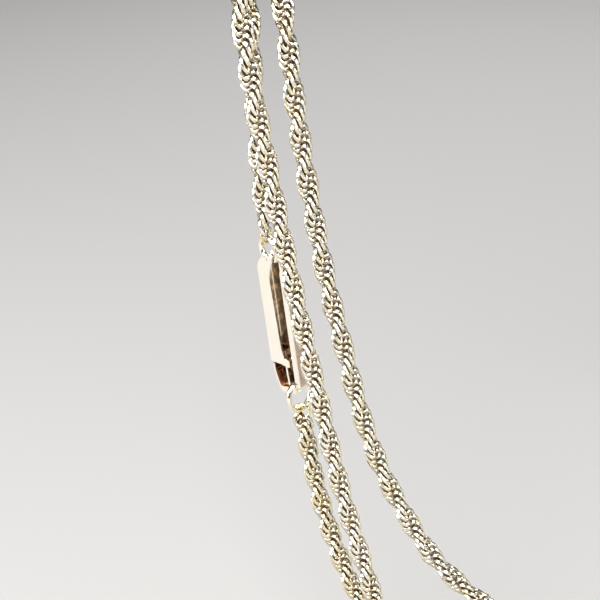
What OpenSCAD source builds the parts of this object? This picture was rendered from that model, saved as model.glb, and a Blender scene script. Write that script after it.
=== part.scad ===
// Long rope chain necklace, worn in three turns round a neck and closed by a narrow push-gate clasp.
// The origin is where the chain rests on the back of the neck. +Z is up and the front of the
// necklace faces -Y. All sizes are in millimetres.

/* [Necklace] */
// Width of the necklace between the middle lines of the long turn
necklace_w = 121; // [115:1:127]
// Depth from the back of the neck to the middle line of the long turn in front
necklace_d = 104; // [99:1:109]
// Height from the lowest point of the long turn up to the back of the neck
necklace_h = 178; // [169:1:187]

/* [Chain] */
// Width of the twisted rope across its lobes
rope_w = 4.1; // [3.4:0.1:4.6]
// Gap between the last rope link and the small end link
rope_end_gap = 0.2; // [0.1:0.05:0.4]

/* [End rings] */
// Inner radius of the jump ring above the clasp
upper_ring_inner_r = 1.8; // [1.65:0.05:2.1]
// Inner radius of the jump ring below the clasp
lower_ring_inner_r = 2.35; // [2.2:0.05:2.6]
// Wire thickness of the jump rings
jump_wire = 1.1; // [0.95:0.05:1.15]
// Inner radius of the small ring soldered to each end of the rope
end_link_inner_r = 1.05; // [1:0.05:1.3]
// Wire thickness of that small ring
end_link_wire = 0.55; // [0.4:0.05:0.6]
// Play between two rings that hang in each other
ring_play = 0.06; // [0.04:0.01:0.1]

/* [Clasp frame] */
// Length of the clasp along the chain
clasp_len = 27.6; // [27:0.2:29]
// Width of the clasp across its two limbs
clasp_w = 6.1; // [6:0.1:6.6]
// Depth of the frame, which is the width of the strip that it is bent from
clasp_depth = 2.7; // [2.6:0.1:3]
// Thickness of the strip in the plain limb
band_t = 1.15; // [0.9:0.05:1.2]
// Width of the hollow nose where the gate closes on it
nose_w = 3; // [2.7:0.05:3]
// Sheet thickness of the hollow nose
nose_sheet = 0.4; // [0.3:0.05:0.5]
// Length of the nose that reaches up inside the closed gate
nose_lap = 3; // [2:0.25:5]

/* [Gate] */
// How far the gate's face follows the arch past the middle of the clasp
gate_end = 0.8; // [0.6:0.05:1]
// Height of the face's right end on the arch
gate_end_h = 0.9; // [0.8:0.05:1.1]
// Width of the gate's face where it is narrowest, under the arch
gate_waist_w = 2.6; // [2.4:0.05:2.8]
// Width of the face in its lower part, before it widens to its corner
gate_low_w = 2.93; // [2.7:0.05:3.1]
// Radius of the gate's two ears round the pin
ear_r = 0.8; // [0.7:0.05:0.9]
// Sheet thickness of the folded gate
gate_sheet = 0.35; // [0.3:0.05:0.4]
// Clearance between the gate and what it closes on or folds round
gate_gap = 0.15; // [0.12:0.01:0.18]
// How far the gate's face reaches past the inner side of the nose
gate_cover = 0.5; // [0.3:0.05:0.55]
// Length of the gate from the top of the clasp to its lower edge
gate_len = 21.8; // [20.8:0.2:22.4]
// Drop of the slanted lower edge across the face
gate_slant = 0.5; // [0.3:0.1:0.8]
// Height of the thumbnail lip at the gate's lower corner
lip_h = 1.4; // [1:0.1:1.8]
// How far that lip reaches past the gate's edge
lip_w = 0.6; // [0.4:0.1:0.7]
// Gap between the pin and the top of the gate's side wall
gate_wall_drop = 2.6; // [2.3:0.1:3.2]
// Radius of the pin that the gate turns on
pin_r = 0.4; // [0.3:0.05:0.45]
// Running clearance between the pin and the gate
pin_clearance = 0.05; // [0.03:0.01:0.08]
// Radius of the frame's eye round the pin
eye_r = 0.85; // [0.75:0.05:0.95]
// Height of the pin's flat heads
pin_head_h = 0.06; // [0.04:0.02:0.12]

/* [Hidden] */

GOLD = "gold";
POLISHED = "khaki";

// A place on the necklace is given in percent of its width, depth and height
PERCENT = 0.01;
function among(p) = PERCENT * [p[0] * necklace_w, p[1] * necklace_d, p[2] * necklace_h];
function all_among(list) = [for (p = list) among(p)];

// The clasp's own frame: +X across to the plain limb, +Z up along its length, -Y out of its face.
clasp_at = among([-43.72, -90.87, -44.21]);
clasp_lean = 7.5;
clasp_yaw = 41;

half_w = clasp_w / 2;
half_l = clasp_len / 2;
half_d = clasp_depth / 2;
tiny = 0.01;

// How far left of the middle the pin stands, as a share of the half width
PIN_SHARE = 0.28;
// The foot's long outer arc, its rounded corner and the depth of its seat, as shares of its height
FOOT_ARC_SHARE = 2.1;
FOOT_ROUND_SHARE = 0.425;
SEAT_SHARE = 0.68;

// The limb's inner face, the arch over the top and the pin
limb_inner = half_w - band_t;
arch_z = half_l - half_w;
arch_mid_r = half_w - band_t / 2;
pin_x = -PIN_SHARE * half_w;
pin_z = arch_z + sqrt(arch_mid_r * arch_mid_r - pin_x * pin_x);

// The foot below the closed gate: a nose that leans in towards the limb, and a gap between them
// in whose round seat the lower jump ring hangs
gate_foot_z = half_l - gate_len;
foot_top_z = gate_foot_z - gate_gap;
foot_h = foot_top_z + half_l;
foot_arc_r = FOOT_ARC_SHARE * foot_h;
foot_round_r = FOOT_ROUND_SHARE * foot_h;
lap_x = -half_w + gate_sheet + gate_gap;
lap_front = -half_d + gate_gap;
nose_in_x = lap_x + nose_w;
seat_r = jump_wire / 2 + ring_play;
seat_x = limb_inner - seat_r;
seat_z = foot_top_z - SEAT_SHARE * foot_h;
seat_drop = foot_top_z - seat_z;
nose_lean_in = limb_inner - 2 * seat_r - nose_in_x;
nose_in_r = (seat_drop * seat_drop + nose_lean_in * nose_lean_in) / (2 * nose_lean_in);

// The gate's plates lie just outside the frame
gate_front = -half_d - gate_sheet;
gate_back = half_d + gate_gap + gate_sheet;
gate_wall_top = pin_z - gate_wall_drop;
gate_edge_x = nose_in_x + gate_cover;
lip_out = gate_sheet;

// The face's right edge is two long arcs and the line between them: the upper one runs out on the
// arch, the lower one into the corner with the lip
WAIST_DROP = 2.15;
FLARE_H = 4.7;
waist_x = -half_w + gate_waist_w;
waist_z = arch_z - WAIST_DROP;
end_run = gate_end - waist_x;
end_rise = arch_z + sqrt(half_w * half_w - gate_end * gate_end) - gate_end_h - waist_z;
waist_r = (end_run * end_run + end_rise * end_rise) / (2 * end_run);
low_x = -half_w + gate_low_w;
flare_z = gate_foot_z + FLARE_H;
flare_run = gate_edge_x - low_x;
flare_r = (flare_run * flare_run + FLARE_H * FLARE_H) / (2 * flare_run);

// The upper jump ring hangs on the pin between the gate's face and the frame's eye, a little turned
upper_jump_turn = 12;
upper_jump_r = upper_ring_inner_r + jump_wire / 2;
turn_room = (gate_end - pin_x + gate_gap) * sin(upper_jump_turn);
eye_front = -half_d + jump_wire + 2 * (gate_gap + turn_room);
upper_jump = [pin_x, (-half_d + eye_front) / 2, pin_z - pin_r - ring_play + upper_ring_inner_r];
// The lower one hangs over the front and back edges of its seat, square to the clasp
lower_jump_r = lower_ring_inner_r + jump_wire / 2;
lower_jump_drop = sqrt(lower_ring_inner_r * lower_ring_inner_r - half_d * half_d);
lower_jump = [seat_x, 0, seat_z - seat_r + ring_play - lower_jump_drop];

// The end links hold the outer side of each jump ring
end_link_r = end_link_inner_r + end_link_wire / 2;
link_hold = end_link_inner_r - ring_play;
upper_link = upper_jump + [0, 0, upper_ring_inner_r + link_hold];
lower_link = lower_jump - [0, 0, lower_ring_inner_r + link_hold];
lower_link_turn = 25;
rope_reach = end_link_r + end_link_wire / 2 + rope_end_gap;

// Points given in the clasp's own frame, turned to the necklace's
function placed(p) =
    let (x = p[0] * cos(clasp_yaw) + p[1] * sin(clasp_yaw),
         y = -p[0] * sin(clasp_yaw) + p[1] * cos(clasp_yaw))
    clasp_at + [x * cos(clasp_lean) - p[2] * sin(clasp_lean), y,
                x * sin(clasp_lean) + p[2] * cos(clasp_lean)];

// The chain's way, one half of each turn from the back of the neck to its lowest point.
// The other half mirrors it.
SHORT_HALF = all_among([
    [-31.4, -15.4, 0], [-44.6, -50, 0], [-45, -76.9, -2.2], [-44.6, -91.3, -6.2],
    [-43.4, -96.2, -12.4], [-40.5, -96.2, -27], [-35.5, -96.2, -43.8], [-27.3, -96.2, -61.8],
    [-17.4, -96.2, -72.5], [-8.3, -96.2, -77.5], [0, -96.2, -78.9]]);
LONG_HALF = all_among([
    [-33.1, -13.5, 3.4], [-47.1, -50, 3.4], [-49.6, -80.8, 0], [-50, -95.2, -4.5],
    [-49.2, -100, -11.8], [-45.5, -100, -27], [-39.7, -100, -46.6], [-33.1, -100, -65.7],
    [-24.8, -100, -82.6], [-12.4, -100, -96.1], [0, -100, -100]]);
CLASP_TURN_TOP = all_among([
    [-32.2, -13.5, -3.4], [-47.1, -46.2, -3.9], [-48.8, -71.2, -5.6], [-48.8, -85.6, -8.4],
    [-48.3, -90.4, -14.6], [-47.5, -90.4, -24.7]]);
CLASP_TURN_SIDE = all_among([[-45.5, -90.4, -37.1], [-41.3, -90.4, -55.1]]);
CLASP_TURN_FOOT = all_among([
    [-38.8, -90.4, -62.9], [-34.7, -90.4, -72.5], [-27.3, -90.4, -83.1], [-14.9, -90.4, -92.7],
    [0, -90.4, -96.1]]);
// Where one turn passes into the next behind the neck
BACK_FIRST = among([0, 2.4, -1.7]);
BACK_SECOND = among([0, 2.4, 1.7]);
BACK_OUTER = among([0, 8.7, 0]);

function reversed(list) = [for (i = [len(list) - 1:-1:0]) list[i]];
function without_last(list) = [for (i = [0:len(list) - 2]) list[i]];
function mirrored(list) = [for (p = list) [-p[0], p[1], p[2]]];
function whole_turn(half) = concat(half, mirrored(reversed(without_last(half))));

clasp_turn_right = mirrored(reversed(concat(CLASP_TURN_TOP, CLASP_TURN_SIDE,
                                            without_last(CLASP_TURN_FOOT))));
lower_run = concat([placed(lower_link - [0, 0, rope_reach])], CLASP_TURN_FOOT, clasp_turn_right);
short_run = whole_turn(SHORT_HALF);
long_run = whole_turn(LONG_HALF);
upper_run = concat(CLASP_TURN_TOP, [placed(upper_link + [0, 0, rope_reach])]);
ROUTE = concat(lower_run, [BACK_FIRST], short_run, [BACK_SECOND], long_run, [BACK_OUTER], upper_run);
last_stop = len(ROUTE) - 1;
first_back = len(lower_run);
second_back = first_back + len(short_run) + 1;
outer_back = second_back + len(long_run) + 1;

// The rope's plain round section
ROPE_SIDES = 8;
RING_SPACING = 12;

function unit(v) = v / norm(v);
function stretch(i) = norm(ROUTE[i + 1] - ROUTE[i]);
function chord(i) = unit(ROUTE[i + 1] - ROUTE[i]);
// The way that the rope points at a stop, leaning to the nearer neighbour
function heading(i) =
    i == 0 ? chord(0) : i == last_stop ? chord(last_stop - 1)
    : (chord(i - 1) * stretch(i) + chord(i) * stretch(i - 1)) / (stretch(i) + stretch(i - 1));
function steps(i) = ceil(stretch(i) / RING_SPACING);
// A smooth curve from one stop to the next
function between(i, t) =
    (2 * pow(t, 3) - 3 * pow(t, 2) + 1) * ROUTE[i]
    + (pow(t, 3) - 2 * pow(t, 2) + t) * stretch(i) * heading(i)
    + (3 * pow(t, 2) - 2 * pow(t, 3)) * ROUTE[i + 1]
    + (pow(t, 3) - pow(t, 2)) * stretch(i) * heading(i + 1);

centres = concat([for (i = [0:last_stop - 1]) for (k = [0:steps(i) - 1]) between(i, k / steps(i))],
                 [ROUTE[last_stop]]);
last_ring = len(centres) - 1;
// Which ring lies at each stop
ring_at = [for (i = 0, n = 0; i <= last_stop; n = n + (i < last_stop ? steps(i) : 0), i = i + 1) n];

function along(k) = unit(centres[min(k + 1, last_ring)] - centres[max(k - 1, 0)]);
function squared_up(v, t) = unit(v - (v * t) * t);
// A side direction for each ring, carried along so that the section never twists
sides = [for (k = 0, v = squared_up([0, 1, 0], along(0)); k <= last_ring;
              k = k + 1, v = squared_up(v, along(min(k, last_ring)))) v];

function ring_points(k) =
    let (u = sides[k], w = cross(along(k), sides[k]))
    [for (s = [0:ROPE_SIDES - 1])
        centres[k] + rope_w / 2 * (cos(360 * s / ROPE_SIDES) * u + sin(360 * s / ROPE_SIDES) * w)];

// One length of rope, from one stop of the route to another
module rope(from_stop, to_stop) {
    first = ring_at[from_stop];
    count = ring_at[to_stop] - first;
    points = [for (k = [first:first + count]) each ring_points(k)];
    walls = [for (k = [0:count - 1]) for (s = [0:ROPE_SIDES - 1])
        let (a = k * ROPE_SIDES, b = a + ROPE_SIDES, t = (s + 1) % ROPE_SIDES)
        each [[a + s, b + s, b + t], [a + s, b + t, a + t]]];
    start_cap = [[for (s = [0:ROPE_SIDES - 1]) s]];
    end_cap = [[for (s = [ROPE_SIDES - 1:-1:0]) count * ROPE_SIDES + s]];
    polyhedron(points = points, faces = concat(start_cap, walls, end_cap));
}

module at_clasp() {
    translate(clasp_at) rotate([0, -clasp_lean, 0]) rotate([0, 0, -clasp_yaw]) children();
}

// A ring of round wire that stands upright, seen from the front before it is turned
module wire_ring(radius, wire, turn) {
    rotate([0, 0, turn]) rotate([90, 0, 0])
        rotate_extrude($fn = 48) translate([radius, 0]) circle(d = wire, $fn = 16);
}

// An outline drawn in X and Z, made solid from one depth to another
module slab(from_y, to_y) {
    translate([0, to_y, 0]) rotate([90, 0, 0]) linear_extrude(to_y - from_y) children();
}

module across_pin(radius, from_y, to_y) {
    translate([pin_x, to_y, pin_z]) rotate([90, 0, 0]) cylinder(r = radius, h = to_y - from_y, $fn = 32);
}

// The arch over the top, to the right of a given line
module arch_outline(from_x) {
    intersection() {
        difference() {
            translate([0, arch_z]) circle(r = half_w, $fn = 96);
            translate([0, arch_z]) circle(r = limb_inner, $fn = 96);
        }
        translate([from_x, arch_z - tiny]) square([half_w - from_x, half_w + 2 * tiny]);
    }
}

// The foot's outer edge is a long arc, made smaller all round by a sheet thickness for its hollow
module foot_outer(inset) {
    translate([foot_arc_r - half_w, foot_top_z]) circle(r = foot_arc_r - inset, $fn = 128);
}

// The gap between nose and limb, which ends in the round seat
module ring_gap(inset) {
    intersection() {
        translate([nose_in_x + nose_in_r, foot_top_z]) circle(r = nose_in_r + inset, $fn = 128);
        translate([nose_in_x - inset, seat_z])
            square([limb_inner + inset - nose_in_x, foot_top_z + tiny - seat_z]);
    }
    translate([seat_x, seat_z]) circle(r = seat_r + inset, $fn = 48);
}

module foot_outline() {
    difference() {
        intersection() {
            foot_outer(0);
            translate([-half_w, -half_l]) square([clasp_w, foot_h]);
            union() {
                translate([half_w - foot_round_r, foot_round_r - half_l])
                    circle(r = foot_round_r, $fn = 96);
                translate([-half_w, -half_l]) square([clasp_w - foot_round_r, foot_h]);
                translate([-half_w, foot_round_r - half_l]) square([clasp_w, foot_h]);
            }
        }
        ring_gap(0);
    }
}

module foot_hollow() {
    difference() {
        intersection() {
            foot_outer(nose_sheet);
            translate([-half_w, seat_z - seat_r]) square([nose_in_x + nose_lean_in + half_w, foot_h]);
        }
        ring_gap(nose_sheet);
    }
}

// The part of the nose that reaches up inside the closed gate
module lap_outline(inset) {
    translate([lap_x + inset, foot_top_z - tiny])
        square([nose_w - 2 * inset, nose_lap + inset + tiny]);
}

module clasp_frame() {
    color(POLISHED) at_clasp() {
        difference() {
            union() {
                slab(-half_d, half_d) translate([limb_inner, foot_top_z - tiny])
                    square([band_t, arch_z - foot_top_z + tiny]);
                slab(-half_d, half_d) arch_outline(upper_jump[0] + upper_jump_r + seat_r);
                slab(eye_front, half_d) arch_outline(pin_x);
                across_pin(eye_r, eye_front, half_d);
                slab(-half_d, half_d) foot_outline();
                slab(lap_front, half_d) lap_outline(0);
            }
            slab(-half_d - tiny, half_d - nose_sheet) foot_hollow();
            slab(lap_front - tiny, half_d - nose_sheet) lap_outline(nose_sheet);
            across_pin(pin_r + tiny, eye_front - tiny, half_d + tiny);
        }
    }
}

// The gate's face: it follows the arch's outer edge at the top and is slanted at its foot
module gate_face() {
    translate([pin_x, pin_z]) circle(r = ear_r, $fn = 48);
    difference() {
        union() {
            intersection() {
                translate([0, arch_z]) circle(r = half_w, $fn = 96);
                translate([-half_w, arch_z - tiny]) square([half_w + gate_end, half_w + 2 * tiny]);
            }
            polygon([[-half_w, arch_z], [-half_w, gate_foot_z + gate_slant],
                     [gate_edge_x, gate_foot_z], [gate_edge_x, arch_z]]);
        }
        hull() {
            translate([waist_x + waist_r, waist_z]) circle(r = waist_r, $fn = 128);
            translate([low_x + flare_r, flare_z]) circle(r = flare_r, $fn = 128);
        }
    }
}

// The outer side wall, which folds the face and the back plate into a channel open to the limb
module gate_wall() {
    intersection() {
        gate_face();
        translate([-half_w, gate_foot_z]) square([gate_sheet, gate_wall_top - gate_foot_z]);
    }
}

// The corner of the face that carries the thumbnail lip
module lip_foot() {
    translate([low_x, gate_foot_z]) square([gate_edge_x - low_x, lip_h]);
}

module clasp_gate() {
    color(GOLD) at_clasp() {
        difference() {
            union() {
                slab(gate_front, -half_d) gate_face();
                slab(half_d + gate_gap, gate_back) gate_face();
                slab(-half_d - tiny, half_d + gate_gap + tiny) gate_wall();
                slab(gate_front, -half_d) lip_foot();
                slab(gate_front - lip_out, -half_d)
                    translate([gate_edge_x - tiny, gate_foot_z]) square([lip_w, lip_h]);
            }
            across_pin(pin_r + pin_clearance, gate_front - tiny, gate_back + tiny);
        }
    }
}

module gate_pin() {
    color(POLISHED) at_clasp() {
        across_pin(pin_r, gate_front - pin_head_h, gate_back + pin_head_h);
    }
}

module jump_ring_upper() {
    color(POLISHED) at_clasp() translate(upper_jump) wire_ring(upper_jump_r, jump_wire, -upper_jump_turn);
}

module jump_ring_lower() {
    color(POLISHED) at_clasp() translate(lower_jump) wire_ring(lower_jump_r, jump_wire, 90);
}

module end_link_upper() {
    color(GOLD) at_clasp() translate(upper_link) wire_ring(end_link_r, end_link_wire, 90);
}

module end_link_lower() {
    color(GOLD) at_clasp() translate(lower_link)
        wire_ring(end_link_r, end_link_wire, lower_link_turn);
}

module chain_lower() {
    color(GOLD) rope(0, first_back);
}

module chain_short_turn() {
    color(GOLD) rope(first_back, second_back);
}

module chain_long_turn() {
    color(GOLD) rope(second_back, outer_back);
}

module chain_upper() {
    color(GOLD) rope(outer_back, last_stop);
}

chain_lower();
chain_short_turn();
chain_long_turn();
chain_upper();
end_link_upper();
end_link_lower();
jump_ring_upper();
jump_ring_lower();
clasp_frame();
clasp_gate();
gate_pin();
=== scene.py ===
# %% [markdown]
# # A rope chain necklace
# The object is one long gold rope chain, worn in three turns and closed by a long slim clasp.
# The solids of the clasp, its pin, the round rings and the end links come ready made. This script
# gives them their gold, replaces the plain tube of the chain by real wire links, and sets a pale
# floor, soft lights and the camera. Everything is in metres, and Z points up.

# %% Load the solids
import math
import random
import bpy
import bmesh
from mathutils import Matrix, Vector


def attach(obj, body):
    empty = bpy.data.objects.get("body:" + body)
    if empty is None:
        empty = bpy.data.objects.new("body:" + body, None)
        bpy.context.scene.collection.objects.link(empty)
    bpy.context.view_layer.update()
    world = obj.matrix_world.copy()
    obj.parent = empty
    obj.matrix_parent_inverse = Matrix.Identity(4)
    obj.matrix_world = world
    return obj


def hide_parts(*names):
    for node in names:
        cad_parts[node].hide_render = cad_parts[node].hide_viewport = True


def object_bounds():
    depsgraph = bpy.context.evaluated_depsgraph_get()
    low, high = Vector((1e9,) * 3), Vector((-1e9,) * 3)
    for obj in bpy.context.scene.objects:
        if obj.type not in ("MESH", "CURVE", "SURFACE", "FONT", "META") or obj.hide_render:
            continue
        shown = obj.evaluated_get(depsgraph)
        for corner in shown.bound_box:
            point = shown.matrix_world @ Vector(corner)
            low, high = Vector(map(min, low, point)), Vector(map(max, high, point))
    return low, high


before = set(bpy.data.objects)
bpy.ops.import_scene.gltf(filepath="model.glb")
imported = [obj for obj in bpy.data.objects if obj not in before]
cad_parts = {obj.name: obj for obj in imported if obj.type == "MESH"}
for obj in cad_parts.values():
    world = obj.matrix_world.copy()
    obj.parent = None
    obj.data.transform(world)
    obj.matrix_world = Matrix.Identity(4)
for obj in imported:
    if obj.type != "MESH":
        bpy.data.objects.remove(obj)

CAD_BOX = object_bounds()
MM = 0.001
print("solids:", sorted(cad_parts))
print("box in mm:", [[round(v / MM, 1) for v in corner] for corner in CAD_BOX])

# %% [markdown]
# ## The camera
# The necklace is seen from the front and a little above, close to its left side, so that two
# passes of the chain and the clasp fill the picture. A long lens stands about 30 cm away. The
# direction is turned into angles by Blender's own track quaternion, which needs no rotation sums.

# %% Camera
EYE = Vector((-0.050, -0.36888, 0.03664))
AIM = Vector((-0.050, -0.100, -0.072))
SENSOR = 36.0
LENS = 97.44
lens = bpy.data.cameras.new("camera")
lens.lens = LENS
lens.sensor_width = SENSOR
lens.clip_start = 0.01
camera = bpy.data.objects.new("camera", lens)
camera.location = EYE
camera.rotation_euler = (AIM - EYE).to_track_quat("-Z", "Y").to_euler()
bpy.context.scene.collection.objects.link(camera)
bpy.context.scene.camera = camera
print("camera to the clasp: %.0f mm" % ((AIM - EYE).length / MM))

# %% [markdown]
# ## Floor and light
# Gold has no colour of its own until something bright stands in front of it, and without dark
# places between the lights it looks like paint. So a large soft light stands high in front, a
# weaker one at each side and behind, and the surroundings stay a dim grey. The floor is pale and
# even. Soft light comes from wide disks, because a small lamp would give hard sparks on each link.

# %% Floor and lights
FLOOR_DROP = 0.012
FLOOR_WIDTH = 8.0
FLOOR_GREY = (0.44, 0.43, 0.42)
FLOOR_ROUGHNESS = 0.9
MIDDLE = (-0.03, -0.09, -0.08)
LIGHTS = [("key", (-0.30, -0.80, 0.65), 0.70, 24),
          ("right", (0.80, -0.45, 0.25), 0.50, 5),
          ("left", (-0.85, -0.25, 0.10), 0.50, 5),
          ("back", (0.15, 0.80, 0.55), 0.60, 5)]
SKY_TONE = (0.95, 0.97, 1.0)
SKY_STRENGTH = 0.10


def plain_paint(name, colour, roughness):
    paint = bpy.data.materials.new(name)
    paint.use_nodes = True
    shader = paint.node_tree.nodes["Principled BSDF"]
    shader.inputs["Base Color"].default_value = (*colour, 1)
    shader.inputs["Roughness"].default_value = roughness
    return paint


def soft_light(name, place, width, power):
    light = bpy.data.lights.new(name, "AREA")
    light.shape = "DISK"
    light.size = width
    light.energy = power
    lamp = bpy.data.objects.new(name, light)
    lamp.location = place
    lamp.rotation_euler = (Vector(MIDDLE) - Vector(place)).to_track_quat("-Z", "Y").to_euler()
    bpy.context.scene.collection.objects.link(lamp)


floor_mesh = bmesh.new()
bmesh.ops.create_grid(floor_mesh, x_segments=1, y_segments=1, size=FLOOR_WIDTH / 2)
bmesh.ops.translate(floor_mesh, vec=(0, 0, CAD_BOX[0][2] - FLOOR_DROP), verts=floor_mesh.verts)
floor_data = bpy.data.meshes.new("floor")
floor_mesh.to_mesh(floor_data)
floor_mesh.free()
floor = bpy.data.objects.new("floor", floor_data)
floor_data.materials.append(plain_paint("pale_floor", FLOOR_GREY, FLOOR_ROUGHNESS))
bpy.context.scene.collection.objects.link(floor)

for name, place, width, power in LIGHTS:
    soft_light(name, place, width, power)
print(len(LIGHTS), "lights, with", sum(row[3] for row in LIGHTS), "watts in all")

world = bpy.data.worlds.new("studio")
world.use_nodes = True
world.node_tree.nodes["Background"].inputs["Color"].default_value = (*SKY_TONE, 1)
world.node_tree.nodes["Background"].inputs["Strength"].default_value = SKY_STRENGTH
bpy.context.scene.world = world
bpy.context.scene.view_settings.view_transform = "Standard"

# %% [markdown]
# ## Effects that every gold shares
# Worn gold is never one flat tone: it is a little redder or paler from place to place, polish
# has dulled it in spots, and fine marks cross it. Two node groups give these effects. They put
# out only masks and heights, and each material mixes them with its own colours and strengths. They
# read object coordinates, so that a pattern stays on the metal when the gate swings.

# %% Node groups
TONE_EDGES = (0.35, 0.65)
DULL_EDGES = (0.3, 0.7)


def start_group(name, inputs, outputs):
    group = bpy.data.node_groups.new(name, "ShaderNodeTree")
    for label, value in inputs:
        socket = group.interface.new_socket(label, in_out="INPUT", socket_type="NodeSocketFloat")
        socket.default_value = value
    for label in outputs:
        group.interface.new_socket(label, in_out="OUTPUT", socket_type="NodeSocketFloat")
    return group, group.nodes.new("NodeGroupInput"), group.nodes.new("NodeGroupOutput")


def ramp(nodes, links, value, low, high):
    spread = nodes.new("ShaderNodeMapRange")
    spread.inputs["From Min"].default_value = low
    spread.inputs["From Max"].default_value = high
    links.new(value, spread.inputs["Value"])
    return spread.outputs["Result"]


def make_patina():
    group, given, made = start_group("patina", [("Scale", 400.0), ("Spots", 1500.0)],
                                     ["Tone", "Dull"])
    nodes, links = group.nodes, group.links
    place = nodes.new("ShaderNodeTexCoord")
    clouds = nodes.new("ShaderNodeTexNoise")
    clouds.inputs["Detail"].default_value = 3
    links.new(place.outputs["Object"], clouds.inputs["Vector"])
    links.new(given.outputs["Scale"], clouds.inputs["Scale"])
    links.new(ramp(nodes, links, clouds.outputs["Fac"], *TONE_EDGES), made.inputs["Tone"])
    spots = nodes.new("ShaderNodeTexNoise")
    spots.inputs["Detail"].default_value = 2
    links.new(place.outputs["Object"], spots.inputs["Vector"])
    links.new(given.outputs["Spots"], spots.inputs["Scale"])
    links.new(ramp(nodes, links, spots.outputs["Fac"], *DULL_EDGES), made.inputs["Dull"])
    return group


def make_fine_marks():
    group, given, made = start_group("fine_marks", [("Scale", 900.0), ("Stretch", 0.08)],
                                     ["Height"])
    nodes, links = group.nodes, group.links
    place = nodes.new("ShaderNodeTexCoord")
    pull = nodes.new("ShaderNodeVectorMath")
    pull.operation = "MULTIPLY"
    axes = nodes.new("ShaderNodeCombineXYZ")
    axes.inputs["X"].default_value = 1
    axes.inputs["Y"].default_value = 1
    links.new(given.outputs["Stretch"], axes.inputs["Z"])
    links.new(place.outputs["Object"], pull.inputs[0])
    links.new(axes.outputs["Vector"], pull.inputs[1])
    grain = nodes.new("ShaderNodeTexNoise")
    grain.inputs["Detail"].default_value = 4
    grain.inputs["Roughness"].default_value = 0.7
    links.new(pull.outputs["Vector"], grain.inputs["Vector"])
    links.new(given.outputs["Scale"], grain.inputs["Scale"])
    links.new(grain.outputs["Fac"], made.inputs["Height"])
    return group


PATINA = make_patina()
FINE_MARKS = make_fine_marks()
print("node groups:", PATINA.name, FINE_MARKS.name)

# %% [markdown]
# ## The clasp's dark inside
# The clasp is bright where the light reaches it. Inside, in the folded gate, in the hollow nose
# and along the inner edge, it gets painted brown shade, mottled with lighter painted reflections.
# This mask is worked out in the clasp's own turned frame, which a Mapping node of kind texture
# sets: it is 1 where a point lies between the two faces and within a slim capsule that stays just
# inside the outline. The plain limb's outer side, which lies against the next turn of rope, gets
# a painted pinkish-brown reflection, with a mask of its own. A painted image could do the same,
# but a mask from sums needs none.

# %% The mask of the inside
CLASP_PLACE = Vector((-52.901, -94.505, -78.694))
CLASP_TURN = (Matrix.Rotation(math.radians(-7.5), 3, "Y")
              @ Matrix.Rotation(math.radians(-41), 3, "Z"))
INSIDE_TOP, INSIDE_FOOT = 10.7, -8.5
INSIDE_HALF_W, INSIDE_ARCH, INSIDE_TOE = 2.9, 3.05, 5.1
OUTLINE_EDGES = (0.98, 0.84)
OUTER_SIDE = (2.85, 3.0)
SOFT_EDGE = 0.12


def make_inside():
    group, given, made = start_group("clasp_inside", [("Half depth", 1.2)],
                                     ["Inside", "Outer side"])
    nodes, links = group.nodes, group.links

    def sum_up(operation, first, second=None):
        step = nodes.new("ShaderNodeMath")
        step.operation = operation
        for socket, value in zip(step.inputs, (first, second)):
            if isinstance(value, (int, float)):
                socket.default_value = value
            elif value:
                links.new(value, socket)
        return step.outputs["Value"]

    place = nodes.new("ShaderNodeTexCoord")
    own = nodes.new("ShaderNodeMapping")
    own.vector_type = "TEXTURE"
    own.inputs["Location"].default_value = CLASP_PLACE * MM
    own.inputs["Rotation"].default_value = CLASP_TURN.to_euler()
    own.inputs["Scale"].default_value = (MM, MM, MM)
    links.new(place.outputs["Object"], own.inputs["Vector"])
    axes = nodes.new("ShaderNodeSeparateXYZ")
    links.new(own.outputs["Vector"], axes.inputs["Vector"])
    x, z = axes.outputs["X"], axes.outputs["Z"]
    aside = sum_up("POWER", sum_up("DIVIDE", sum_up("ABSOLUTE", x), INSIDE_HALF_W), 2)
    past_top = sum_up("MAXIMUM", sum_up("SUBTRACT", z, INSIDE_TOP), 0)
    past_foot = sum_up("MAXIMUM", sum_up("SUBTRACT", INSIDE_FOOT, z), 0)
    along = sum_up("POWER", sum_up("ADD", sum_up("DIVIDE", past_top, INSIDE_ARCH),
                                   sum_up("DIVIDE", past_foot, INSIDE_TOE)), 2)
    in_outline = ramp(nodes, links, sum_up("ADD", aside, along), *OUTLINE_EDGES)
    spare = sum_up("SUBTRACT", given.outputs["Half depth"],
                   sum_up("ABSOLUTE", axes.outputs["Y"]))
    between_faces = ramp(nodes, links, spare, 0, SOFT_EDGE)
    links.new(sum_up("MULTIPLY", in_outline, between_faces), made.inputs["Inside"])
    # Mask of the limb's outer side, which gets a painted reflection.
    beside = ramp(nodes, links, x, *OUTER_SIDE)
    links.new(sum_up("MULTIPLY", beside, between_faces), made.inputs["Outer side"])
    return group


CLASP_INSIDE = make_inside()
print("mask of the inside:", len(CLASP_INSIDE.nodes), "nodes")

# %% [markdown]
# ## Gold
# All the gold is one pale yellow alloy, but each part shows it in its own way. The clasp is
# smooth polished sheet, the rings are bright drawn wire, and the rope's small links are duller,
# with painted brown shade in their hollows and grooves. One maker function takes two tones, two
# roughness values and the size of the marks. The rope's gold also reads how deep in the rope a
# point lies and paints that shade, and the clasp's gold mixes painted brown shade and lighter
# painted reflections where its inside is, and a painted reflection on the limb's outer side.

# %% The maker of gold
# Where the painted shade in the rope's hollows fades out, as a share of the rope's radius.
HOLLOW_SHADE_EDGES = (0.24, 0.46)
INSIDE_PATCHES = (0.42, 0.68)
INSIDE_ROUGHNESS = 0.38
GRAIN_PER_PATCH = 5
MARK_DEPTH = 0.02


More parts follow.
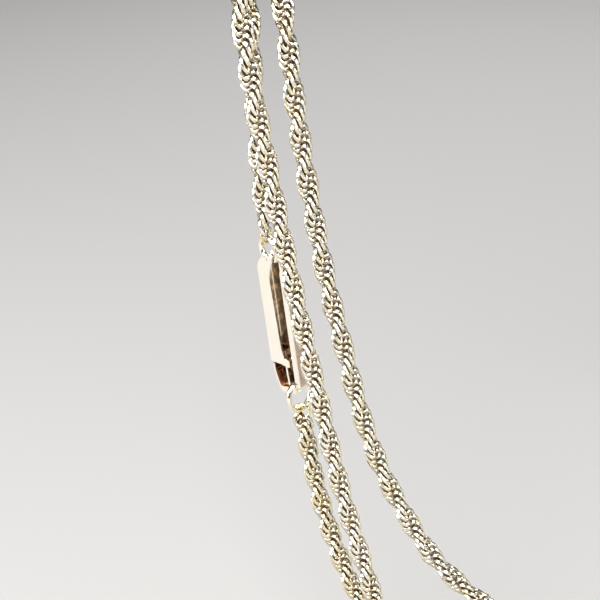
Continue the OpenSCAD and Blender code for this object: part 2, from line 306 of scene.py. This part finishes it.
def mix_colour(nodes, links, mask, first, second):
    mix = nodes.new("ShaderNodeMix")
    mix.data_type = "RGBA"
    links.new(mask, mix.inputs["Factor"])
    for socket, colour in ((mix.inputs[6], first), (mix.inputs[7], second)):
        if isinstance(colour, tuple):
            socket.default_value = (*colour, 1)
        else:
            links.new(colour, socket)
    return mix.outputs[2]


def gold(name, pale, deep, smooth, dull, patch_scale, spot_scale, marks, hollow_shade=None,
         inside=None):
    metal = bpy.data.materials.new(name)
    metal.use_nodes = True
    nodes, links = metal.node_tree.nodes, metal.node_tree.links
    shader = nodes["Principled BSDF"]
    shader.inputs["Metallic"].default_value = 1
    patina = nodes.new("ShaderNodeGroup")
    patina.node_tree = PATINA
    patina.inputs["Scale"].default_value = patch_scale
    patina.inputs["Spots"].default_value = spot_scale
    colour = mix_colour(nodes, links, patina.outputs["Tone"], pale, deep)
    rough = nodes.new("ShaderNodeMapRange")
    rough.inputs["To Min"].default_value = smooth
    rough.inputs["To Max"].default_value = dull
    links.new(patina.outputs["Dull"], rough.inputs["Value"])
    roughness = rough.outputs["Result"]
    # Painted shade: brown where a point lies near the rope's middle line or in a groove.
    if hollow_shade:
        depth = nodes.new("ShaderNodeAttribute")
        depth.attribute_name = "out_from_axis"
        outside = ramp(nodes, links, depth.outputs["Fac"], *HOLLOW_SHADE_EDGES)
        colour = mix_colour(nodes, links, outside, hollow_shade, colour)
    # Painted shade inside the clasp, mottled with lighter painted reflections.
    if inside:
        half_depth, brown, light_brown, outer_reflection = inside
        within = nodes.new("ShaderNodeGroup")
        within.node_tree = CLASP_INSIDE
        within.inputs["Half depth"].default_value = half_depth
        patches = ramp(nodes, links, patina.outputs["Dull"], *INSIDE_PATCHES)
        mottled = mix_colour(nodes, links, patches, brown, light_brown)
        # Painted pinkish-brown reflection on the plain limb's outer side.
        colour = mix_colour(nodes, links, within.outputs["Outer side"], colour, outer_reflection)
        colour = mix_colour(nodes, links, within.outputs["Inside"], colour, mottled)
        dulled = nodes.new("ShaderNodeMapRange")
        dulled.inputs["To Max"].default_value = INSIDE_ROUGHNESS
        links.new(within.outputs["Inside"], dulled.inputs["Value"])
        links.new(rough.outputs["Result"], dulled.inputs["To Min"])
        roughness = dulled.outputs["Result"]
    links.new(colour, shader.inputs["Base Color"])
    links.new(roughness, shader.inputs["Roughness"])
    scratch = nodes.new("ShaderNodeGroup")
    scratch.node_tree = FINE_MARKS
    scratch.inputs["Scale"].default_value = GRAIN_PER_PATCH * patch_scale
    bump = nodes.new("ShaderNodeBump")
    bump.inputs["Strength"].default_value = marks
    bump.inputs["Distance"].default_value = MARK_DEPTH * MM
    links.new(scratch.outputs["Height"], bump.inputs["Height"])
    links.new(bump.outputs["Normal"], shader.inputs["Normal"])
    return metal


# %% [markdown]
# ## Seven kinds of gold
# The rope has two: the lower stretch is a little warmer and duller. The end links are the deepest
# yellow, the jump rings are paler, and the clasp is nearly white gold. The tones, the roughness
# and the sizes of the marks are judged against how such alloys look in soft light.

# %% The kinds of gold
# Painted brown shade, lighter painted reflections, and the pinkish-brown painted reflection on the
# limb's outer side.
SHADE_AND_REFLECTION_TONES = ((0.09, 0.048, 0.03), (0.66, 0.40, 0.20), (0.62, 0.47, 0.38))
CLASP_TONES = ((0.98, 0.94, 0.85), (0.94, 0.88, 0.72))
FRAME_HALF_DEPTH, GATE_HALF_DEPTH = 1.25, 1.45
ROPE_MARKS = dict(patch_scale=350, spot_scale=1400, marks=0.5)
RING_MARKS = dict(patch_scale=300, spot_scale=1200, marks=0.3)
CLASP_MARKS = dict(smooth=0.10, dull=0.22, patch_scale=90, spot_scale=1100, marks=0.35)
# The hollow colour of the rope's gold is painted shade in its hollows and grooves.
ROPE_GOLD = gold("rope_gold", (0.99, 0.95, 0.83), (0.96, 0.87, 0.66), smooth=0.12, dull=0.26,
                 hollow_shade=(0.15, 0.095, 0.05), **ROPE_MARKS)
WARM_ROPE_GOLD = gold("rope_gold_warm", (0.97, 0.91, 0.74), (0.92, 0.82, 0.56), smooth=0.16,
                      dull=0.30, hollow_shade=(0.19, 0.12, 0.055), **ROPE_MARKS)
LINK_GOLD = gold("end_link_gold", (0.96, 0.86, 0.56), (0.90, 0.74, 0.38), smooth=0.08,
                 dull=0.20, **RING_MARKS)
RING_GOLD = gold("ring_gold", (0.97, 0.93, 0.84), (0.88, 0.80, 0.66), smooth=0.07, dull=0.20,
                 **RING_MARKS)
FRAME_GOLD = gold("frame_gold", *CLASP_TONES, **CLASP_MARKS,
                  inside=(FRAME_HALF_DEPTH, *SHADE_AND_REFLECTION_TONES))
GATE_GOLD = gold("gate_gold", *CLASP_TONES, **CLASP_MARKS,
                 inside=(GATE_HALF_DEPTH, *SHADE_AND_REFLECTION_TONES))
PIN_GOLD = gold("pin_gold", *CLASP_TONES, smooth=0.12, dull=0.24, patch_scale=500,
                spot_scale=2000, marks=0.4)
print("kinds of gold:", [metal.name for metal in bpy.data.materials if "gold" in metal.name])

# %% [markdown]
# ## Gold on the ready solids
# The clasp's frame and gate, the pin, the jump rings and the end links already have their right
# shape. Their meshes stay as they are, and only the material slot on each object is changed.

# %% Dress the solids
SOLID_GOLD = {"clasp_frame": FRAME_GOLD, "clasp_gate": GATE_GOLD, "gate_pin": PIN_GOLD,
              "jump_ring_upper": RING_GOLD, "jump_ring_lower": RING_GOLD,
              "end_link_upper": LINK_GOLD, "end_link_lower": LINK_GOLD}
for node, metal in SOLID_GOLD.items():
    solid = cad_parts[node]
    for place in solid.material_slots:
        place.material = metal
    if not solid.material_slots:
        solid.data.materials.append(metal)
    print(node, "is", metal.name, "with", len(solid.data.polygons), "faces")

# %% [markdown]
# ## The way of the rope
# A chain takes the shape that hanging and wearing give it, so its middle line comes first. It is
# the same line as the solid tube's: a list of stops for half of each turn, mirrored for the other
# half, and a smooth curve through them. The stops are in percent of the necklace's width, depth
# and height. A curve object could draw it, but the links need the exact length along the line, so
# the points are measured here, a quarter of a millimetre apart.

# %% Stops of the three turns
NECKLACE_SIZE = (121, 104, 178)
PERCENT = 0.01
SHORT_HALF = [(-31.4, -15.4, 0), (-44.6, -50, 0), (-45, -76.9, -2.2), (-44.6, -91.3, -6.2),
              (-43.4, -96.2, -12.4), (-40.5, -96.2, -27), (-35.5, -96.2, -43.8),
              (-27.3, -96.2, -61.8), (-17.4, -96.2, -72.5), (-8.3, -96.2, -77.5),
              (0, -96.2, -78.9)]
LONG_HALF = [(-33.1, -13.5, 3.4), (-47.1, -50, 3.4), (-49.6, -80.8, 0), (-50, -95.2, -4.5),
             (-49.2, -100, -11.8), (-45.5, -100, -27), (-39.7, -100, -46.6),
             (-33.1, -100, -65.7), (-24.8, -100, -82.6), (-12.4, -100, -96.1), (0, -100, -100)]
CLASP_TURN_TOP = [(-32.2, -13.5, -3.4), (-47.1, -46.2, -3.9), (-48.8, -71.2, -5.6),
                  (-48.8, -85.6, -8.4), (-48.3, -90.4, -14.6), (-47.5, -90.4, -24.7)]
CLASP_TURN_SIDE = [(-45.5, -90.4, -37.1), (-41.3, -90.4, -55.1)]
CLASP_TURN_FOOT = [(-38.8, -90.4, -62.9), (-34.7, -90.4, -72.5), (-27.3, -90.4, -83.1),
                   (-14.9, -90.4, -92.7), (0, -90.4, -96.1)]
BACK_FIRST, BACK_SECOND, BACK_OUTER = (0, 2.4, -1.7), (0, 2.4, 1.7), (0, 8.7, 0)
LOWER_START, UPPER_END = (-49.377, -95.351, -98.004), (-56.199, -94.152, -59.961)


def among(stops):
    return [Vector(share * size * PERCENT for share, size in zip(stop, NECKLACE_SIZE))
            for stop in stops]


def mirrored(stops):
    return [(-x, y, z) for x, y, z in stops]


def whole_turn(half):
    return half + mirrored(half[-2::-1])


right_side = mirrored((CLASP_TURN_TOP + CLASP_TURN_SIDE + CLASP_TURN_FOOT[:-1])[::-1])
lower_run = CLASP_TURN_FOOT + right_side
short_run, long_run = whole_turn(SHORT_HALF), whole_turn(LONG_HALF)
STOPS = ([Vector(LOWER_START)] + among(lower_run + [BACK_FIRST] + short_run + [BACK_SECOND]
                                       + long_run + [BACK_OUTER] + CLASP_TURN_TOP)
         + [Vector(UPPER_END)])
FIRST_BACK = 1 + len(lower_run)
SHORT_FOOT = FIRST_BACK + len(SHORT_HALF)
SECOND_BACK = FIRST_BACK + len(short_run) + 1
LONG_FOOT = SECOND_BACK + len(LONG_HALF)
OUTER_BACK = SECOND_BACK + len(long_run) + 1
LAST_STOP = len(STOPS) - 1
print(len(STOPS), "stops; the turns meet at", FIRST_BACK, SECOND_BACK, OUTER_BACK)

# %% [markdown]
# ## Points along the rope
# Between two stops the line is a cubic that leaves and arrives along the headings there. Each
# point also gets a side direction, carried along from the last point and only squared up to the
# line. A side that is carried so never twists by itself, so all twist comes from the rope's lay.

# %% Measure the middle line
POINT_GAP = 0.25


def chord(i):
    return (STOPS[i + 1] - STOPS[i]).normalized()


def stretch(i):
    return (STOPS[i + 1] - STOPS[i]).length


def heading(i):
    if i == 0:
        return chord(0)
    if i == len(STOPS) - 1:
        return chord(i - 1)
    return ((chord(i - 1) * stretch(i) + chord(i) * stretch(i - 1))
            / (stretch(i) + stretch(i - 1)))


def between(i, t):
    return ((2 * t**3 - 3 * t**2 + 1) * STOPS[i] + (t**3 - 2 * t**2 + t) * stretch(i) * heading(i)
            + (3 * t**2 - 2 * t**3) * STOPS[i + 1] + (t**3 - t**2) * stretch(i) * heading(i + 1))


line, stop_at = [], []
for i in range(len(STOPS) - 1):
    stop_at.append(len(line))
    count = math.ceil(stretch(i) / POINT_GAP)
    line += [between(i, k / count) for k in range(count)]
stop_at.append(len(line))
line.append(STOPS[-1])

reach, side, sides, ways = [0.0], Vector((0, 1, 0)), [], []
for k, point in enumerate(line):
    way = (line[min(k + 1, len(line) - 1)] - line[max(k - 1, 0)]).normalized()
    side = (side - side.dot(way) * way).normalized()
    ways.append(way)
    sides.append(side)
    if k:
        reach.append(reach[-1] + (point - line[k - 1]).length)
ROPE_LENGTH = reach[-1]
print("rope length: %.1f mm" % ROPE_LENGTH)

# %% [markdown]
# ## One link
# A rope chain is made of small closed rings that hold each other. In this one each ring is a
# bundle of three thin wires side by side, so its outer half has three crests with fine grooves
# between them, and its inner side is plain. A ring reaches past the middle of the rope, so the
# rings of the two sides cross there and make the zigzag seam. The section is a few vertices set
# out on a flat half circle, spun into a ring, stretched to an oval and pushed off the rope's
# middle line. Edges in the grooves are marked sharp, so that they show as lines. Twelve steps
# round are enough, because the ring is only four millimetres long and there are thousands of it.

# %% Model one link
ROPE_RADIUS = 1.96
LINK_RADIUS = 1.20
LINK_TALL = 1.6
LINK_OUT = ROPE_RADIUS - LINK_RADIUS
LINK_LEAN = math.radians(75)
BUNDLE_RADIUS = 0.38
BUNDLE_FLAT = 0.8
BUNDLE_DEPTH = 0.80
GROOVE = 0.17
GROOVE_SHADE = 0.36
LINK_STEPS = 12
CREST_ANGLES = (-62, 0, 62)
GROOVE_ANGLES = (-31, 31)


def link_section():
    spots = [(angle, BUNDLE_RADIUS, False) for angle in CREST_ANGLES]
    spots += [(angle, BUNDLE_RADIUS - GROOVE, True) for angle in GROOVE_ANGLES]
    section = []
    for angle, radius, in_groove in sorted(spots):
        turn = math.radians(angle)
        out = LINK_RADIUS + BUNDLE_FLAT * (radius * math.cos(turn) - BUNDLE_RADIUS)
        section.append((out, radius * math.sin(turn), in_groove))
    return section + [(LINK_RADIUS - BUNDLE_DEPTH, 0, False)]


def model_link():
    ring = bmesh.new()
    in_groove = ring.verts.layers.int.new("in_groove")
    corners = []
    for out, across, groove in link_section():
        corners.append(ring.verts.new((out * MM, 0, across * MM)))
        corners[-1][in_groove] = groove
    edges = [ring.edges.new((corners[k - 1], corners[k])) for k in range(len(corners))]
    bmesh.ops.spin(ring, geom=corners + edges, cent=(0, 0, 0), axis=(0, 0, 1), angle=math.tau,
                   steps=LINK_STEPS, use_merge=True)
    bmesh.ops.remove_doubles(ring, verts=ring.verts, dist=0.001 * MM)
    bmesh.ops.recalc_face_normals(ring, faces=ring.faces)
    for edge in ring.edges:
        edge.smooth = not all(v[in_groove] for v in edge.verts)
    for face in ring.faces:
        face.smooth = True
    bmesh.ops.scale(ring, vec=(1, LINK_TALL, 1), verts=ring.verts)
    bmesh.ops.translate(ring, vec=(LINK_OUT * MM, 0, 0), verts=ring.verts)
    # Each vertex keeps its share of the rope's radius, lowered in the grooves by GROOVE_SHADE; the
    # rope's gold paints brown shade where this is low.
    out_from_axis = ring.verts.layers.float.new("out_from_axis")
    for v in ring.verts:
        sideways = v.co.y * math.cos(LINK_LEAN) + v.co.z * math.sin(LINK_LEAN)
        share = min(1, math.hypot(v.co.x, sideways) / (ROPE_RADIUS * MM))
        v[out_from_axis] = share - GROOVE_SHADE * v[in_groove]
    mesh = bpy.data.meshes.new("link")
    ring.to_mesh(mesh)
    ring.free()
    return mesh


LINK = bpy.data.objects.new("link_pattern", model_link())
print("one link has", len(LINK.data.polygons), "faces")

# %% [markdown]
# ## Where each link stands
# Every link leans steeply against the rope and holds the links before and after it. The next
# link stands on the other side, half a turn round, and both sides wind slowly about the middle
# line. That makes the two strands of a rope. The lay is a little tighter in the lower stretch of
# the clasp's turn, where the hanging rope has wound itself up. The first link's turn decides
# where the rope shows its broad and its narrow side.

# %% Places and turns of the links
LINK_STEP = 0.56
HALF_LAY = 7.82
TIGHT_HALF_LAY = 6.5
TIGHT_UNTIL = 130.0
LOOSE_FROM = 280.0
FIRST_TURN = math.radians(-84.3)
LEAN_PLAY = math.radians(2.0)
rng = random.Random(11)


def half_lay(distance):
    share = min(1, max(0, (distance - TIGHT_UNTIL) / (LOOSE_FROM - TIGHT_UNTIL)))
    return TIGHT_HALF_LAY + (HALF_LAY - TIGHT_HALF_LAY) * share


def link_rows():
    rows, k, turn = [], 0, FIRST_TURN
    count = round(ROPE_LENGTH / LINK_STEP)
    for n in range(count + 1):
        distance = n * ROPE_LENGTH / count
        while k < len(reach) - 2 and reach[k + 1] < distance:
            k += 1
        share = min(1, (distance - reach[k]) / (reach[k + 1] - reach[k]))
        point = line[k].lerp(line[k + 1], share)
        way = ways[k].lerp(ways[k + 1], share).normalized()
        other = way.cross(sides[k]).normalized()
        out = (sides[k] * math.cos(turn) + other * math.sin(turn)).normalized()
        lean = LINK_LEAN + rng.uniform(-LEAN_PLAY, LEAN_PLAY)
        down = way.cross(out) * math.cos(lean) - way * math.sin(lean)
        turned = Matrix((out, down, out.cross(down))).transposed().to_quaternion()
        rows.append((k, point * MM, turned))
        turn += math.pi + math.pi / half_lay(distance) * ROPE_LENGTH / count
    return rows


ROWS = link_rows()
print(len(ROWS), "links,", len(ROWS) * len(LINK.data.polygons) * 2, "triangles")

# %% [markdown]
# ## From places to a chain
# The link is copied to its places by Geometry Nodes: a mesh of bare points carries a rotation for
# each, Instance on Points sets the links there, and Realize Instances makes them one mesh. It is
# applied at once, so that the finished piece is plain geometry. The rope is cut into six pieces,
# which keeps each one light.

# %% Set the links out
def scatter_tree():
    tree = bpy.data.node_groups.new("links_on_points", "GeometryNodeTree")
    tree.interface.new_socket("Points", in_out="INPUT", socket_type="NodeSocketGeometry")
    tree.interface.new_socket("Chain", in_out="OUTPUT", socket_type="NodeSocketGeometry")
    nodes, links = tree.nodes, tree.links
    given, made = nodes.new("NodeGroupInput"), nodes.new("NodeGroupOutput")
    pattern = nodes.new("GeometryNodeObjectInfo")
    pattern.inputs["Object"].default_value = LINK
    turned = nodes.new("GeometryNodeInputNamedAttribute")
    turned.data_type = "QUATERNION"
    turned.inputs["Name"].default_value = "turned"
    scatter = nodes.new("GeometryNodeInstanceOnPoints")
    real = nodes.new("GeometryNodeRealizeInstances")
    links.new(given.outputs["Points"], scatter.inputs["Points"])
    links.new(pattern.outputs["Geometry"], scatter.inputs["Instance"])
    links.new(turned.outputs["Attribute"], scatter.inputs["Rotation"])
    links.new(scatter.outputs["Instances"], real.inputs["Geometry"])
    links.new(real.outputs["Geometry"], made.inputs["Chain"])
    return tree


SCATTER = scatter_tree()
bpy.context.scene.collection.objects.link(LINK)


def chain_piece(name, rows, metal):
    points = bpy.data.meshes.new(name + "_points")
    points.vertices.add(len(rows))
    points.vertices.foreach_set("co", [v for _, point, _ in rows for v in point])
    turned = points.attributes.new("turned", "QUATERNION", "POINT")
    turned.data.foreach_set("value", [v for _, _, turn in rows for v in turn])
    piece = bpy.data.objects.new(name, points)
    bpy.context.scene.collection.objects.link(piece)
    modifier = piece.modifiers.new("links", "NODES")
    modifier.node_group = SCATTER
    shape = piece.evaluated_get(bpy.context.evaluated_depsgraph_get())
    mesh = bpy.data.meshes.new_from_object(shape)
    piece.modifiers.clear()
    piece.data = mesh
    mesh.materials.clear()
    mesh.materials.append(metal)
    print(name, "has", len(rows), "links,", 2 * len(mesh.polygons), "triangles")
    return piece


# %% [markdown]
# ## The six pieces of the rope
# The pieces follow the solids that they replace: the lower stretch from the clasp round to the
# back, the short turn and the long turn in two halves each, and the upper stretch back to the
# clasp. All of them hang on the necklace's own body.

# %% Build the rope
PIECES = [("rope_lower", "chain_lower", 0, FIRST_BACK, WARM_ROPE_GOLD),
          ("rope_short_left", "chain_short_turn", FIRST_BACK, SHORT_FOOT, ROPE_GOLD),
          ("rope_short_right", "chain_short_turn", SHORT_FOOT, SECOND_BACK, ROPE_GOLD),
          ("rope_long_left", "chain_long_turn", SECOND_BACK, LONG_FOOT, ROPE_GOLD),
          ("rope_long_right", "chain_long_turn", LONG_FOOT, OUTER_BACK, ROPE_GOLD),
          ("rope_upper", "chain_upper", OUTER_BACK, LAST_STOP, ROPE_GOLD)]
for name, node, first, last, metal in PIECES:
    end = stop_at[last] if last < LAST_STOP else len(line)
    rows = [row for row in ROWS if stop_at[first] <= row[0] < end]
    piece = chain_piece(name, rows, metal)
    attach(piece, "necklace")
    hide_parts(node)

bpy.data.objects.remove(LINK)
